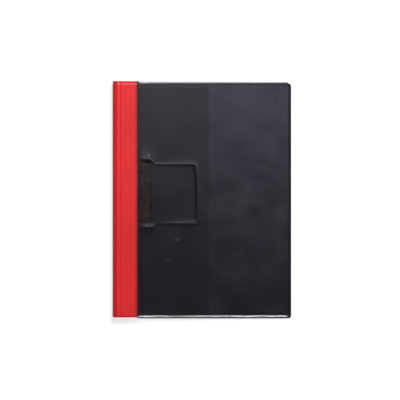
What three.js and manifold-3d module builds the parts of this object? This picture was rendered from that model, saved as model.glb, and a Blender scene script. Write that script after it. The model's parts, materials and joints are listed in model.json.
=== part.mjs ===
// An A4 clip folder lying closed on its back: black back cover, red spine and edge strip, clear front
// and a sprung clamp that a wire bail opens. Millimetres. X runs from the spine to the fore edge,
// Y up the page and Z up from the table. The origin is under the middle of the folder.

import * as THREE from "three";
import { mergeVertices } from "three/addons/utils/BufferGeometryUtils.js";
import Module from "manifold-3d";

const wasm = await Module();
wasm.setup();

// Overall size
const FOLDER_WIDTH = 233.5;
const FOLDER_HEIGHT = 310;
const SPINE_THICKNESS = 13;

// Clearances
const SEAT_GAP = 0.1; // between faces that rest on each other
const SLIVER = 0.01; // keeps faces of two cutting forms apart
const PIN_GAP = 0.3; // round a pin in its hole
const SIDE_GAP = 0.4; // beside a piece that turns
const LIFT_GAP = 0.3; // over a piece that the closed cover passes

// Red sheet: spine, back strip and front strip
const RED_SHEET = 0.9;
const STRIP_WIDTH = 32.3;
const STRIP_BEVEL = 1.8; // its free edge is pressed thinner over this width
const STRIP_BEVEL_DROP = 0.5;
const FRONT_SHORTFALL = 1.7; // red sheet and clear front stop short of the back's bottom end
const CREASE_FROM_EDGE = 9.5;
const CREASE_WIDTH = 4.6;
const CREASE_DEPTH = 0.5;
const CREASE_SLIT = 0.4;
const HINGE_SINK = 0.15; // the strip's face lies this far under the hinge axis
const STRIP_FALL = 0.035; // rise over run of the closed front strip
const CREASE_STEPS = 5;
const SPINE_STEPS = 18;

// Back cover: a board inside a thinner welded rim
const BOARD = 2;
const BOARD_EDGE = 0.6;
const RIM = 0.8;
const RIM_WIDTH = 4.5;
const BACK_SHORTFALL = 2.7; // the back stops short of the red sheet's top end
const CORNER_RADIUS = 4;

// Clear front sheet
const FILM = 0.4;
const FILM_LAP = 6;
const FILM_FROM_FORE_EDGE = 3.9;
const FILM_SAG_LENGTH = 7; // how fast the sheet drops once it leaves the strip
const FILM_CORNER = 3.2;
const BEAD_WIDTH = 1.8;
const BEAD_HEIGHT = 0.9;
const WELD_WIDTH = 3;
const WELD_HEIGHT = 0.7;
const WELD_FROM_STRIP = 0.8;
const FILM_NEAR = 42; // the bulge beside the strip is drawn finely as far as this
const FILM_STEPS_NEAR = 10;
const FILM_STEPS_FAR = 8;

// Inner pocket on the back cover
const POCKET_FILM = 0.4;
const POCKET_WIDTH = 106;
const POCKET_INSET = 2;

// Clip base
const CLIP_CENTRE_Y = 8.9;
const CLIP_FROM_STRIP = 2.7;
const BASE_SHEET = 0.8;
const BASE_WIDTH = 17.5;
const BASE_STRAIGHT = 92;
const TAB_RADIUS = 6.3;
const TAB_SIDES = 36;
const TAB_REACH = 53.8; // from the middle of the clip to the end of a tab
const FLANGE_HEIGHT = 3.2;
const LUG_SHEET = 0.9;
const LUG_SPACING = 81;
const LUG_WALL = 1.3; // metal round a lug's hole
const LUG_WINDOW = 4.2; // hole in the base that a lug was cut from

// Clamp rod and springs
const ROD_DIAMETER = 2;
const ROD_FROM_BASE_EDGE = 2.8;
const ROD_HEAD_DIAMETER = 3.6;
const ROD_HEAD_LENGTH = 0.8;
const SPRING_WIRE = 0.8;
const SPRING_TURNS = 6;
const SPRING_PITCH = 1.05;
const SPRING_FROM_MIDDLE = 15;
const SPRING_LEG = 6.5;
const SPRING_SIDES = 6;
const SPRING_TURN_STEPS = 12;

// Clamp plate
const PLATE_SHEET = 0.8;
const PLATE_LENGTH = 73;
const PLATE_REACH = 11.2; // from the rod to the jaw
const JAW_LIP = 1.8; // the jaw's edge turns up over this width
const JAW_LIP_RISE = 1.1;
const JAW_LIP_LEAN = 0.5; // its upper face starts this much nearer the rod
const KNUCKLE_LENGTH = 12;
const KEY_TAB_LENGTH = 2.8; // side tab that the bail's finger lifts
const KEY_TAB_REACH = 10.6;

// Bail
const BAIL_WIRE = 3;
const PIVOT_FROM_ROD = 5.3;
const FINGER_LENGTH = 5;
const FINGER_Y = 38;
const OUTER_RUN_Y = 43.6;
const OUTER_RUN_LENGTH = 7.8;
const ARM_Y = 38.7;
const ARM_SHIFT = -0.7; // both arms lie this much off the middle of the clip
const ARM_START = 14.3; // from the pivot, along the bail
const BAIL_REACH = 65.6; // from the pivot to the far bar, on the side that is shorter
const BAIL_SKEW = 2.6; // the other side is longer by this
const BAIL_BOW = 1.1;
const BAIL_DROP = 0.65; // the far bar lies lower than the pivot
const BAIL_CORNER = 4.2;
const BAIL_BEND = 2.6;
const FINGER_BEND = 1.7;
const BOW_RADIUS = 42; // where the far bar's straight stretches meet
const WIRE_SIDES = 12;

// Rivets
const RIVET_SHANK = 4;
const RIVET_HEAD = 6.4;
const RIVET_DOME = 1;
const RIVET_DOME_STEPS = 6;
const RIVET_FROM_TAB_END = 5.2;
const RIVET_REAR_HEAD = 8.4;
const RIVET_REAR_THICKNESS = 0.6;

// Places worked out from the sizes above
const LEFT = -FOLDER_WIDTH / 2;
const RIGHT = FOLDER_WIDTH / 2;
const TOP = FOLDER_HEIGHT / 2;
const BOTTOM = -TOP;
const SPINE_RADIUS = SPINE_THICKNESS / 2;
const STRIP_EDGE = LEFT + STRIP_WIDTH;
const HINGE_X = LEFT + CREASE_FROM_EDGE;
const HINGE_Z = SPINE_THICKNESS;
const BACK_TOP = TOP - BACK_SHORTFALL;
const BASE_LEFT = STRIP_EDGE + CLIP_FROM_STRIP;
const BASE_BOTTOM = BOARD + SEAT_GAP;
const BASE_TOP = BASE_BOTTOM + BASE_SHEET;
const KNUCKLE_INNER = ROD_DIAMETER / 2 + PIN_GAP;
const KNUCKLE_OUTER = KNUCKLE_INNER + PLATE_SHEET;
const COIL_RADIUS = ROD_DIAMETER / 2 + PIN_GAP + SPRING_WIRE / 2;
const ROD_X = BASE_LEFT + ROD_FROM_BASE_EDGE;
const ROD_Z = BASE_TOP + Math.max(KNUCKLE_OUTER, COIL_RADIUS + SPRING_WIRE / 2) + PIN_GAP;
const PIVOT_X = ROD_X + PIVOT_FROM_ROD;
const PIVOT_Z = BASE_TOP + BAIL_WIRE / 2 + PIN_GAP;
const LUG_Y = LUG_SPACING / 2;
const FILM_RIGHT = RIGHT - FILM_FROM_FORE_EDGE;
const FRONT_BOTTOM = BOTTOM + FRONT_SHORTFALL;
const POCKET_TOP_Z = BOARD + SEAT_GAP + POCKET_FILM;
const FORE_EDGE_Z = POCKET_TOP_Z + LIFT_GAP + SEAT_GAP;
const BAR_X = PIVOT_X + BAIL_REACH + BAIL_SKEW + BAIL_BOW;
const BAR_TOP_Z = PIVOT_Z - BAIL_DROP + BAIL_WIRE / 2;
const FILM_FALL = (BAR_TOP_Z + LIFT_GAP - FORE_EDGE_Z) / (FILM_RIGHT - BAR_X); // over the bail's bar

// Colours and finishes
function material(color, roughness, metalness, opacity = 1) {
  return new THREE.MeshStandardMaterial({
    color,
    roughness,
    metalness,
    opacity,
    transparent: opacity < 1,
  });
}
const BLACK_PVC = material(0x1b1a1e, 0.45, 0);
const RED_PVC = material(0xdc3738, 0.5, 0);
const CLEAR_PVC = material(0xe4e6ea, 0.12, 0, 0.25);
const STEEL = material(0xb9b6b0, 0.3, 1);
const DARK_STEEL = material(0x8a8078, 0.35, 1);

// A geometry as a manifold-3d solid, and back
function solidOf(geometry) {
  const bare = geometry.clone();
  bare.deleteAttribute("normal");
  bare.deleteAttribute("uv");
  const merged = mergeVertices(bare, 1e-4);
  return new wasm.Manifold(
    new wasm.Mesh({
      numProp: 3,
      vertProperties: merged.attributes.position.array,
      triVerts: new Uint32Array(merged.index.array),
    }),
  );
}

function geometryOf(solid) {
  const mesh = solid.getMesh();
  const geometry = new THREE.BufferGeometry();
  geometry.setAttribute("position", new THREE.BufferAttribute(new Float32Array(mesh.vertProperties), 3));
  geometry.setIndex(new THREE.BufferAttribute(new Uint32Array(mesh.triVerts), 1));
  geometry.computeVertexNormals();
  return geometry;
}

function union(first, ...others) {
  return others.reduce((whole, next) => whole.add(next), first);
}

function cut(first, ...others) {
  return others.reduce((whole, next) => whole.subtract(next), first);
}

// Basic forms
function outlineOf(points) {
  return new THREE.Shape(points.map(([x, y]) => new THREE.Vector2(x, y)));
}

function prism(shape, bottom, top) {
  const geometry = new THREE.ExtrudeGeometry(shape, {
    depth: top - bottom,
    bevelEnabled: false,
    curveSegments: 8,
  });
  geometry.translate(0, 0, bottom);
  return solidOf(geometry);
}

// A profile drawn in X and Z, drawn out along Y
function drawnOut(shape, from, to) {
  const geometry = new THREE.ExtrudeGeometry(shape, {
    depth: to - from,
    bevelEnabled: false,
    curveSegments: 12,
  });
  geometry.rotateX(Math.PI / 2);
  geometry.translate(0, to, 0);
  return solidOf(geometry);
}

function box(x0, x1, y0, y1, z0, z1) {
  const geometry = new THREE.BoxGeometry(x1 - x0, y1 - y0, z1 - z0);
  geometry.translate((x0 + x1) / 2, (y0 + y1) / 2, (z0 + z1) / 2);
  return solidOf(geometry);
}

// A round bar along Y
function barAlongY(x, z, radius, from, to, sides = 24) {
  const geometry = new THREE.CylinderGeometry(radius, radius, to - from, sides);
  geometry.translate(x, (from + to) / 2, z);
  return solidOf(geometry);
}

// A rectangle with a square spine side and rounded fore corners
function coverOutline(left, bottom, right, top, radius) {
  const shape = new THREE.Shape();
  shape.moveTo(left, bottom);
  shape.lineTo(right - radius, bottom);
  shape.absarc(right - radius, bottom + radius, radius, -Math.PI / 2, 0, false);
  shape.lineTo(right, top - radius);
  shape.absarc(right - radius, top - radius, radius, 0, Math.PI / 2, false);
  shape.lineTo(left, top);
  shape.closePath();
  return shape;
}

// Wire bent along a list of points: every corner becomes an arc of the given radius
function roundedPath(corners, radii, degreesPerStep = 15) {
  const points = [corners[0]];
  for (let i = 1; i < corners.length - 1; i += 1) {
    const corner = corners[i];
    const back = corners[i - 1].clone().sub(corner).normalize();
    const ahead = corners[i + 1].clone().sub(corner).normalize();
    const turn = Math.PI - back.angleTo(ahead);
    const run = radii[i - 1] * Math.tan(turn / 2);
    const start = corner.clone().addScaledVector(back, run);
    const end = corner.clone().addScaledVector(ahead, run);
    const toCentre = back.clone().add(ahead).normalize();
    const centre = corner.clone().addScaledVector(toCentre, radii[i - 1] / Math.cos(turn / 2));
    const axis = start.clone().sub(centre).cross(end.clone().sub(centre)).normalize();
    const steps = Math.max(2, Math.round(THREE.MathUtils.radToDeg(turn) / degreesPerStep));
    for (let k = 0; k <= steps; k += 1) {
      const arm = start.clone().sub(centre).applyAxisAngle(axis, (turn * k) / steps);
      points.push(centre.clone().add(arm));
    }
  }
  points.push(corners[corners.length - 1]);
  return points;
}

// A curve that steps from point to point, so that straight runs take one step
class WirePath extends THREE.Curve {
  constructor(points) {
    super();
    this.points = points;
  }
  getPoint(t, target = new THREE.Vector3()) {
    const place = t * (this.points.length - 1);
    const index = Math.min(Math.floor(place), this.points.length - 2);
    return target.lerpVectors(this.points[index], this.points[index + 1], place - index);
  }
  getUtoTmapping(u) {
    return u;
  }
}

function wire(points, diameter, sides) {
  const section = [];
  for (let i = 0; i < sides; i += 1) {
    const angle = (2 * Math.PI * i) / sides;
    section.push([(diameter / 2) * Math.cos(angle), (diameter / 2) * Math.sin(angle)]);
  }
  const geometry = new THREE.ExtrudeGeometry(outlineOf(section), {
    steps: points.length - 1,
    extrudePath: new WirePath(points),
  });
  return solidOf(geometry);
}

// Depth of the hinge crease at a distance from its middle
function creaseDepth(distance) {
  const share = Math.min(Math.abs(distance) / (CREASE_WIDTH / 2), 1);
  return (CREASE_DEPTH * (1 + Math.cos(Math.PI * share))) / 2;
}

// Fixed red sheet: strip under the back, half-round spine and the first side of the crease
function spineWrap() {
  const outer = [[STRIP_EDGE, 0]];
  const inner = [[STRIP_EDGE, RED_SHEET]];
  const centreX = LEFT + SPINE_RADIUS;
  const innerRadius = SPINE_RADIUS - RED_SHEET;
  for (let i = 0; i <= SPINE_STEPS; i += 1) {
    const angle = -Math.PI / 2 - (Math.PI * i) / SPINE_STEPS;
    const along = Math.cos(angle);
    const up = Math.sin(angle);
    outer.push([centreX + SPINE_RADIUS * along, SPINE_RADIUS * (1 + up)]);
    inner.push([centreX + innerRadius * along, SPINE_RADIUS + innerRadius * up]);
  }
  for (let i = 0; i <= CREASE_STEPS; i += 1) {
    const span = CREASE_WIDTH / 2 - CREASE_SLIT / 2;
    const distance = CREASE_WIDTH / 2 - (span * i) / CREASE_STEPS;
    const x = HINGE_X - distance;
    if (x <= centreX) continue;
    outer.push([x, SPINE_THICKNESS - creaseDepth(distance)]);
    inner.push([x, SPINE_THICKNESS - creaseDepth(distance) - RED_SHEET]);
  }
  return drawnOut(outlineOf([...outer, ...inner.reverse()]), FRONT_BOTTOM, TOP);
}

// Closed front strip and front sheet, as heights over the table
function stripTop(x) {
  const distance = x - HINGE_X;
  return HINGE_Z - HINGE_SINK - creaseDepth(distance) - STRIP_FALL * distance;
}

function filmUnderside(x) {
  const onStrip = stripTop(Math.min(x, STRIP_EDGE)) - RED_SHEET - SEAT_GAP - FILM;
  if (x <= STRIP_EDGE) return onStrip;
  const line = FORE_EDGE_Z + FILM_FALL * (FILM_RIGHT - x);
  const lineAtStrip = FORE_EDGE_Z + FILM_FALL * (FILM_RIGHT - STRIP_EDGE);
  const sag = (x - STRIP_EDGE) / FILM_SAG_LENGTH;
  return line + (onStrip - lineAtStrip) * (1 + sag) * Math.exp(-sag);
}

// Front strip, from the other side of the crease
function frontStrip() {
  const top = [];
  for (let i = 0; i <= CREASE_STEPS; i += 1) {
    const span = CREASE_WIDTH / 2 - CREASE_SLIT / 2;
    const x = HINGE_X + CREASE_SLIT / 2 + (span * i) / CREASE_STEPS;
    top.push([x, stripTop(x)]);
  }
  const underside = [...top, [STRIP_EDGE, stripTop(STRIP_EDGE)]].map(([x, z]) => [x, z - RED_SHEET]);
  const bevelStart = STRIP_EDGE - STRIP_BEVEL;
  top.push([bevelStart, stripTop(bevelStart)]);
  top.push([STRIP_EDGE, stripTop(STRIP_EDGE) - STRIP_BEVEL_DROP]);
  return drawnOut(outlineOf([...underside, ...top.reverse()]), FRONT_BOTTOM, TOP);
}

// Clear front: a sagging sheet with a welded bead round its free edges and a weld beside the strip
function filmPlaces() {
  const places = [STRIP_EDGE - FILM_LAP, STRIP_EDGE];
  const near = STRIP_EDGE + FILM_NEAR;
  for (let i = 1; i <= FILM_STEPS_NEAR; i += 1) {
    places.push(STRIP_EDGE + (FILM_NEAR * i) / FILM_STEPS_NEAR);
  }
  for (let i = 1; i <= FILM_STEPS_FAR; i += 1) {
    places.push(near + ((FILM_RIGHT - near) * i) / FILM_STEPS_FAR);
  }
  return places;
}

function filmSlab(bottom, top) {
  const places = filmPlaces();
  const lower = places.map((x) => [x, filmUnderside(x) + bottom]);
  const upper = places.map((x) => [x, filmUnderside(x) + top]).reverse();
  return drawnOut(outlineOf([...lower, ...upper]), FRONT_BOTTOM - 1, TOP + 1);
}

function frontFilm() {
  const high = SPINE_THICKNESS + BEAD_HEIGHT;
  const left = STRIP_EDGE - FILM_LAP;
  const weldStart = STRIP_EDGE + WELD_FROM_STRIP;
  const weldEnd = weldStart + WELD_WIDTH;
  const outline = coverOutline(left + SLIVER, FRONT_BOTTOM, FILM_RIGHT - SLIVER, TOP, FILM_CORNER);
  const plan = prism(outline, 0, high);
  const insideBead = prism(
    coverOutline(
      weldEnd,
      FRONT_BOTTOM + BEAD_WIDTH,
      FILM_RIGHT - BEAD_WIDTH,
      TOP - BEAD_WIDTH,
      FILM_CORNER - BEAD_WIDTH / 2,
    ),
    -1,
    high + 1,
  );
  const lap = box(left - 1, weldStart, FRONT_BOTTOM - 1, TOP + 1, -1, high + 1);
  const weld = box(weldStart - 1, weldEnd + SLIVER, FRONT_BOTTOM - 1, TOP + 1, -1, high + 1);
  const aboveSheet = filmSlab(FILM, high);
  const aboveWeld = filmSlab(WELD_HEIGHT, high);
  return cut(
    filmSlab(0, BEAD_HEIGHT).intersect(plan),
    aboveSheet.intersect(insideBead),
    aboveSheet.intersect(lap),
    aboveWeld.intersect(weld),
  );
}

// Black back cover: a board with a rounded edge, in a thinner welded rim
function backCover() {
  const boardRight = RIGHT - RIM_WIDTH;
  const boardLeft = LEFT + SPINE_RADIUS;
  const boardPlan = coverOutline(
    boardLeft,
    BOTTOM + RIM_WIDTH,
    boardRight,
    BACK_TOP - RIM_WIDTH,
    CORNER_RADIUS,
  );
  const boardForm = new THREE.ExtrudeGeometry(boardPlan, {
    depth: 2 * BOARD - BOARD_EDGE,
    bevelThickness: BOARD_EDGE,
    bevelSize: BOARD_EDGE,
    bevelOffset: -BOARD_EDGE,
    bevelSegments: 3,
    curveSegments: 8,
  });
  boardForm.translate(0, 0, -BOARD);
  const below = box(LEFT - 1, RIGHT + 1, BOTTOM - 1, TOP + 1, -2 * BOARD, 0);
  const rim = prism(coverOutline(STRIP_EDGE + SEAT_GAP, BOTTOM, RIGHT, BACK_TOP, CORNER_RADIUS), 0, RIM);
  const redSeat = box(LEFT, STRIP_EDGE + SEAT_GAP, BOTTOM - 1, TOP + 1, -1, RED_SHEET + SEAT_GAP);
  const holes = rivetPlaces().flatMap(([x, y]) => [
    verticalBar(x, y, RIVET_SHANK / 2 + SEAT_GAP, -1, BOARD + 1),
    verticalBar(x, y, RIVET_REAR_HEAD / 2 + SEAT_GAP, -1, RIVET_REAR_THICKNESS + SEAT_GAP),
  ]);
  return cut(union(cut(solidOf(boardForm), below), rim), redSeat, ...holes);
}

// Clear pocket over the fore half of the back, open towards the spine
function innerPocket() {
  const left = RIGHT - POCKET_INSET - POCKET_WIDTH;
  const right = RIGHT - POCKET_INSET;
  const bottom = BOTTOM + POCKET_INSET;
  const top = BACK_TOP - POCKET_INSET;
  const radius = CORNER_RADIUS - POCKET_INSET / 2;
  const outside = prism(coverOutline(left, bottom, right, top, radius), RIM + SEAT_GAP, POCKET_TOP_Z);
  const inside = prism(
    coverOutline(
      left - 1,
      bottom + POCKET_FILM,
      right - POCKET_FILM,
      top - POCKET_FILM,
      radius - POCKET_FILM,
    ),
    0,
    POCKET_TOP_Z - POCKET_FILM,
  );
  return cut(outside, inside);
}

// Upright round bar
function verticalBar(x, y, radius, bottom, top, sides = 24) {
  const geometry = new THREE.CylinderGeometry(radius, radius, top - bottom, sides);
  geometry.rotateX(Math.PI / 2);
  geometry.translate(x, y, (bottom + top) / 2);
  return solidOf(geometry);
}

// Steel base: round end tabs, a stiffening flange and two lugs turned up out of windows in the sheet
function endPlaces(fromTabEnd) {
  const x = BASE_LEFT + BASE_WIDTH - TAB_RADIUS;
  return [-1, 1].map((side) => [x, CLIP_CENTRE_Y + side * (TAB_REACH - fromTabEnd)]);
}

function rivetPlaces() {
  return endPlaces(RIVET_FROM_TAB_END);
}

function lug(side) {
  const rodWall = ROD_DIAMETER / 2 + PIN_GAP + LUG_WALL;
  const pivotWall = BAIL_WIRE / 2 + PIN_GAP + LUG_WALL;
  const from = CLIP_CENTRE_Y + side * LUG_Y - LUG_SHEET / 2;
  const to = from + LUG_SHEET;
  const web = outlineOf([
    [ROD_X - rodWall, BASE_TOP - BASE_SHEET / 2],
    [PIVOT_X + pivotWall, BASE_TOP - BASE_SHEET / 2],
    [PIVOT_X + pivotWall, PIVOT_Z],
    [PIVOT_X, PIVOT_Z + pivotWall],
    [ROD_X, ROD_Z + rodWall],
    [ROD_X - rodWall, ROD_Z],
  ]);
  return cut(
    union(
      drawnOut(web, from, to),
      barAlongY(ROD_X, ROD_Z, rodWall, from, to),
      barAlongY(PIVOT_X, PIVOT_Z, pivotWall, from, to).intersect(
        box(ROD_X, PIVOT_X + 2 * pivotWall, from - 1, to + 1, BASE_BOTTOM, ROD_Z + 2 * pivotWall),
      ),
    ),
    barAlongY(ROD_X, ROD_Z, ROD_DIAMETER / 2 + PIN_GAP, from - 1, to + 1),
    barAlongY(PIVOT_X, PIVOT_Z, BAIL_WIRE / 2 + PIN_GAP, from - 1, to + 1),
  );
}

function clipBase() {
  const halfStraight = BASE_STRAIGHT / 2;
  const baseRight = BASE_LEFT + BASE_WIDTH;
  const plate = box(
    BASE_LEFT,
    baseRight,
    CLIP_CENTRE_Y - halfStraight,
    CLIP_CENTRE_Y + halfStraight,
    BASE_BOTTOM,
    BASE_TOP,
  );
  const tabs = endPlaces(TAB_RADIUS).map(([x, y]) =>
    verticalBar(x, y, TAB_RADIUS, BASE_BOTTOM, BASE_TOP, TAB_SIDES),
  );
  const necks = endPlaces(TAB_RADIUS).map(([x, y]) =>
    box(
      x - TAB_RADIUS,
      x + TAB_RADIUS,
      Math.min(y, CLIP_CENTRE_Y),
      Math.max(y, CLIP_CENTRE_Y),
      BASE_BOTTOM,
      BASE_TOP,
    ),
  );
  const flange = box(
    BASE_LEFT,
    BASE_LEFT + BASE_SHEET,
    CLIP_CENTRE_Y - PLATE_LENGTH / 2,
    CLIP_CENTRE_Y + PLATE_LENGTH / 2,
    BASE_BOTTOM,
    BASE_BOTTOM + FLANGE_HEIGHT,
  ).intersect(box(BASE_LEFT - 1, ROD_X - KNUCKLE_OUTER - SIDE_GAP / 2, BOTTOM, TOP, 0, SPINE_THICKNESS));
  const windows = [-1, 1].map((side) => {
    const outer = CLIP_CENTRE_Y + side * (LUG_Y - LUG_SHEET / 2);
    const inner = outer - side * LUG_WINDOW;
    const right = PIVOT_X + BAIL_WIRE / 2 + LUG_WALL;
    return box(ROD_X, right, Math.min(outer, inner), Math.max(outer, inner), 0, BASE_TOP + 1);
  });
  const holes = rivetPlaces().map(([x, y]) =>
    verticalBar(x, y, RIVET_SHANK / 2 + SEAT_GAP, 0, BASE_TOP + 1),
  );
  return cut(union(plate, ...tabs, ...necks, flange, lug(-1), lug(1)), ...holes, ...windows);
}

// Rivet: a domed head on the base, a shank through the board and a flat head let into the back
function rivet([x, y]) {
  const headRadius = RIVET_HEAD / 2;
  const bottom = BASE_TOP + SEAT_GAP;
  const profile = [new THREE.Vector2(0, SEAT_GAP / 2)];
  profile.push(new THREE.Vector2(RIVET_REAR_HEAD / 2, SEAT_GAP / 2));
  profile.push(new THREE.Vector2(RIVET_REAR_HEAD / 2, RIVET_REAR_THICKNESS));
  profile.push(new THREE.Vector2(RIVET_SHANK / 2, RIVET_REAR_THICKNESS));
  profile.push(new THREE.Vector2(RIVET_SHANK / 2, bottom));
  for (let i = 0; i <= RIVET_DOME_STEPS; i += 1) {
    const angle = (Math.PI / 2) * (i / RIVET_DOME_STEPS);
    profile.push(new THREE.Vector2(headRadius * Math.cos(angle), bottom + RIVET_DOME * Math.sin(angle)));
  }
  profile[profile.length - 1].x = 0;
  const geometry = new THREE.LatheGeometry(profile, 24);
  geometry.rotateX(Math.PI / 2);
  geometry.translate(x, y, 0);
  return solidOf(geometry);
}

// Rod through both lugs, with a head at each end
function clampRod() {
  const reach = LUG_Y + LUG_SHEET / 2 + SEAT_GAP;
  const rodEnd = reach + ROD_HEAD_LENGTH / 2;
  const rod = barAlongY(ROD_X, ROD_Z, ROD_DIAMETER / 2, CLIP_CENTRE_Y - rodEnd, CLIP_CENTRE_Y + rodEnd);
  const heads = [CLIP_CENTRE_Y + reach, CLIP_CENTRE_Y - reach - ROD_HEAD_LENGTH].map((start) =>
    barAlongY(ROD_X, ROD_Z, ROD_HEAD_DIAMETER / 2, start, start + ROD_HEAD_LENGTH),
  );
  return union(rod, ...heads);
}

// Clamp plate in X and Z: the sheet falls from the knuckle's top to a turned-up jaw lip on the base
function plateTop(x) {
  const start = ROD_Z + KNUCKLE_OUTER;
  const end = BASE_TOP + SEAT_GAP + PLATE_SHEET;
  return start + ((end - start) * (x - ROD_X)) / PLATE_REACH;
}

function clampPlate() {
  const half = PLATE_LENGTH / 2;
  const bottom = CLIP_CENTRE_Y - half;
  const top = CLIP_CENTRE_Y + half;
  const jawX = ROD_X + PLATE_REACH;
  const sheetProfile = outlineOf([
    [ROD_X, plateTop(ROD_X) - PLATE_SHEET],
    [jawX, plateTop(jawX) - PLATE_SHEET],
    [jawX + JAW_LIP, plateTop(jawX) - PLATE_SHEET + JAW_LIP_RISE],
    [jawX + JAW_LIP - JAW_LIP_LEAN, plateTop(jawX) + JAW_LIP_RISE],
    [jawX, plateTop(jawX)],
    [ROD_X, plateTop(ROD_X)],
  ]);
  const tabProfile = outlineOf([
    [ROD_X, ROD_Z + KNUCKLE_INNER],
    [ROD_X + KEY_TAB_REACH, ROD_Z + KNUCKLE_INNER],
    [ROD_X + KEY_TAB_REACH, ROD_Z + KNUCKLE_OUTER],
    [ROD_X, ROD_Z + KNUCKLE_OUTER],
  ]);
  const keyTabs = [
    drawnOut(tabProfile, top - KEY_TAB_LENGTH / 2, top + KEY_TAB_LENGTH),
    drawnOut(tabProfile, bottom - KEY_TAB_LENGTH, bottom + KEY_TAB_LENGTH / 2),
  ];
  const windows = [-1, 1].map((side) => {
    const middle = CLIP_CENTRE_Y + side * SPRING_FROM_MIDDLE;
    const room = (SPRING_TURNS * SPRING_PITCH) / 2 + SPRING_WIRE + SIDE_GAP;
    const edge = ROD_X + COIL_RADIUS + SPRING_WIRE + SIDE_GAP;
    return box(ROD_X - 1, edge, middle - room, middle + room, 0, SPINE_THICKNESS);
  });
  const sheet = cut(drawnOut(sheetProfile, bottom, top), ...windows);
  const knuckles = [
    [bottom, bottom + KNUCKLE_LENGTH],
    [CLIP_CENTRE_Y - KNUCKLE_LENGTH / 2, CLIP_CENTRE_Y + KNUCKLE_LENGTH / 2],
    [top - KNUCKLE_LENGTH, top],
  ].map(([from, to]) => barAlongY(ROD_X, ROD_Z, KNUCKLE_OUTER, from, to));
  const boreEnd = half + KEY_TAB_LENGTH + 1;
  const bore = barAlongY(ROD_X, ROD_Z, KNUCKLE_INNER, CLIP_CENTRE_Y - boreEnd, CLIP_CENTRE_Y + boreEnd);
  return cut(union(sheet, ...knuckles, ...keyTabs), bore);
}

// Torsion spring: one leg on the plate, six turns round the rod, the other leg on the base
function clampSpring(side) {
  const middle = CLIP_CENTRE_Y + side * SPRING_FROM_MIDDLE;
  const halfLength = (SPRING_TURNS * SPRING_PITCH) / 2;
  const fall = Math.atan2(plateTop(ROD_X) - plateTop(ROD_X + PLATE_REACH), PLATE_REACH);
  const startAngle = Math.PI / 2 - fall;
  const endAngle = -Math.PI / 2 + 2 * Math.PI * SPRING_TURNS;
  const onCoil = (angle, y) => {
    const x = ROD_X + COIL_RADIUS * Math.cos(angle);
    return new THREE.Vector3(x, y, ROD_Z + COIL_RADIUS * Math.sin(angle));
  };
  const upper = onCoil(startAngle, middle - halfLength);
  const overPlate = KNUCKLE_OUTER + SPRING_WIRE / 2 + 2 * SEAT_GAP - COIL_RADIUS;
  const onLeg = (distance, lift) =>
    new THREE.Vector3(
      upper.x + distance * Math.cos(fall) + lift * Math.sin(fall),
      upper.y,
      upper.z - distance * Math.sin(fall) + lift * Math.cos(fall),
    );
  const points = [onLeg(SPRING_LEG, overPlate), onLeg(SPRING_WIRE * 2, overPlate)];
  const steps = SPRING_TURNS * SPRING_TURN_STEPS;
  for (let i = 0; i <= steps; i += 1) {
    const share = i / steps;
    const angle = startAngle + (endAngle - startAngle) * share;
    points.push(onCoil(angle, middle - halfLength + 2 * halfLength * share));
  }
  const lower = points[points.length - 1];
  points.push(new THREE.Vector3(lower.x + SPRING_LEG, lower.y, lower.z));
  return wire(points, SPRING_WIRE, SPRING_SIDES);
}

// Bail: finger under the key tab, stub through the lug, outer run, jog, arm and bowed far bar
function bail() {
  const along = (distance) => PIVOT_Z - (BAIL_DROP * distance) / BAIL_REACH;
  const point = (distance, y) => new THREE.Vector3(PIVOT_X + distance, CLIP_CENTRE_Y + y, along(distance));
  const side = (sign, reach) => [
    point(FINGER_LENGTH, sign * FINGER_Y),
    point(0, sign * FINGER_Y),
    point(0, sign * OUTER_RUN_Y),
    point(OUTER_RUN_LENGTH, sign * OUTER_RUN_Y),
    point(ARM_START, sign * ARM_Y + ARM_SHIFT),
    point(reach, sign * ARM_Y + ARM_SHIFT),
  ];
  const upper = side(1, BAIL_REACH);
  const lower = side(-1, BAIL_REACH + BAIL_SKEW);
  const bow = [-0.5, 0, 0.5].map((share) => {
    const middle = BAIL_REACH + BAIL_SKEW * (0.5 + share / 2);
    return point(middle + BAIL_BOW * (1 - share * share), ARM_SHIFT - share * ARM_Y);
  });
  const corners = [...upper, ...bow, ...lower.reverse()];
  const bends = [FINGER_BEND, BAIL_BEND, BAIL_BEND, BAIL_BEND, BAIL_CORNER];
  const bowBends = bow.map(() => BOW_RADIUS);
  const path = roundedPath(corners, [...bends, ...bowBends, ...bends.toReversed()]);
  return wire(path, BAIL_WIRE, WIRE_SIDES);
}

// Scene graph
const folder = new THREE.Group();
folder.name = "clip_folder";
const frontCover = new THREE.Group();
const clip = new THREE.Group();
folder.add(frontCover, clip);

function place(parent, name, solid, finish) {
  const mesh = new THREE.Mesh(geometryOf(solid), finish);
  mesh.name = name;
  parent.add(mesh);
}

place(folder, "back_cover", backCover(), BLACK_PVC);
place(folder, "spine_wrap", spineWrap(), RED_PVC);
place(folder, "inner_pocket", innerPocket(), CLEAR_PVC);
place(frontCover, "front_strip", frontStrip(), RED_PVC);
place(frontCover, "front_film", frontFilm(), CLEAR_PVC);
place(clip, "clip_base", clipBase(), DARK_STEEL);
place(clip, "clamp_rod", clampRod(), STEEL);
place(clip, "clamp_plate", clampPlate(), DARK_STEEL);
place(clip, "bail_wire", bail(), STEEL);
["lower", "upper"].forEach((name, index) => {
  place(clip, name + "_spring", clampSpring(2 * index - 1), STEEL);
  place(clip, name + "_rivet", rivet(rivetPlaces()[index]), STEEL);
});

export default folder;
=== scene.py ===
"""An A4 clip folder, closed and lying flat.

The looks of its red sheet, clear front, black back and steel clip.
"""

import json
import math

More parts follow.
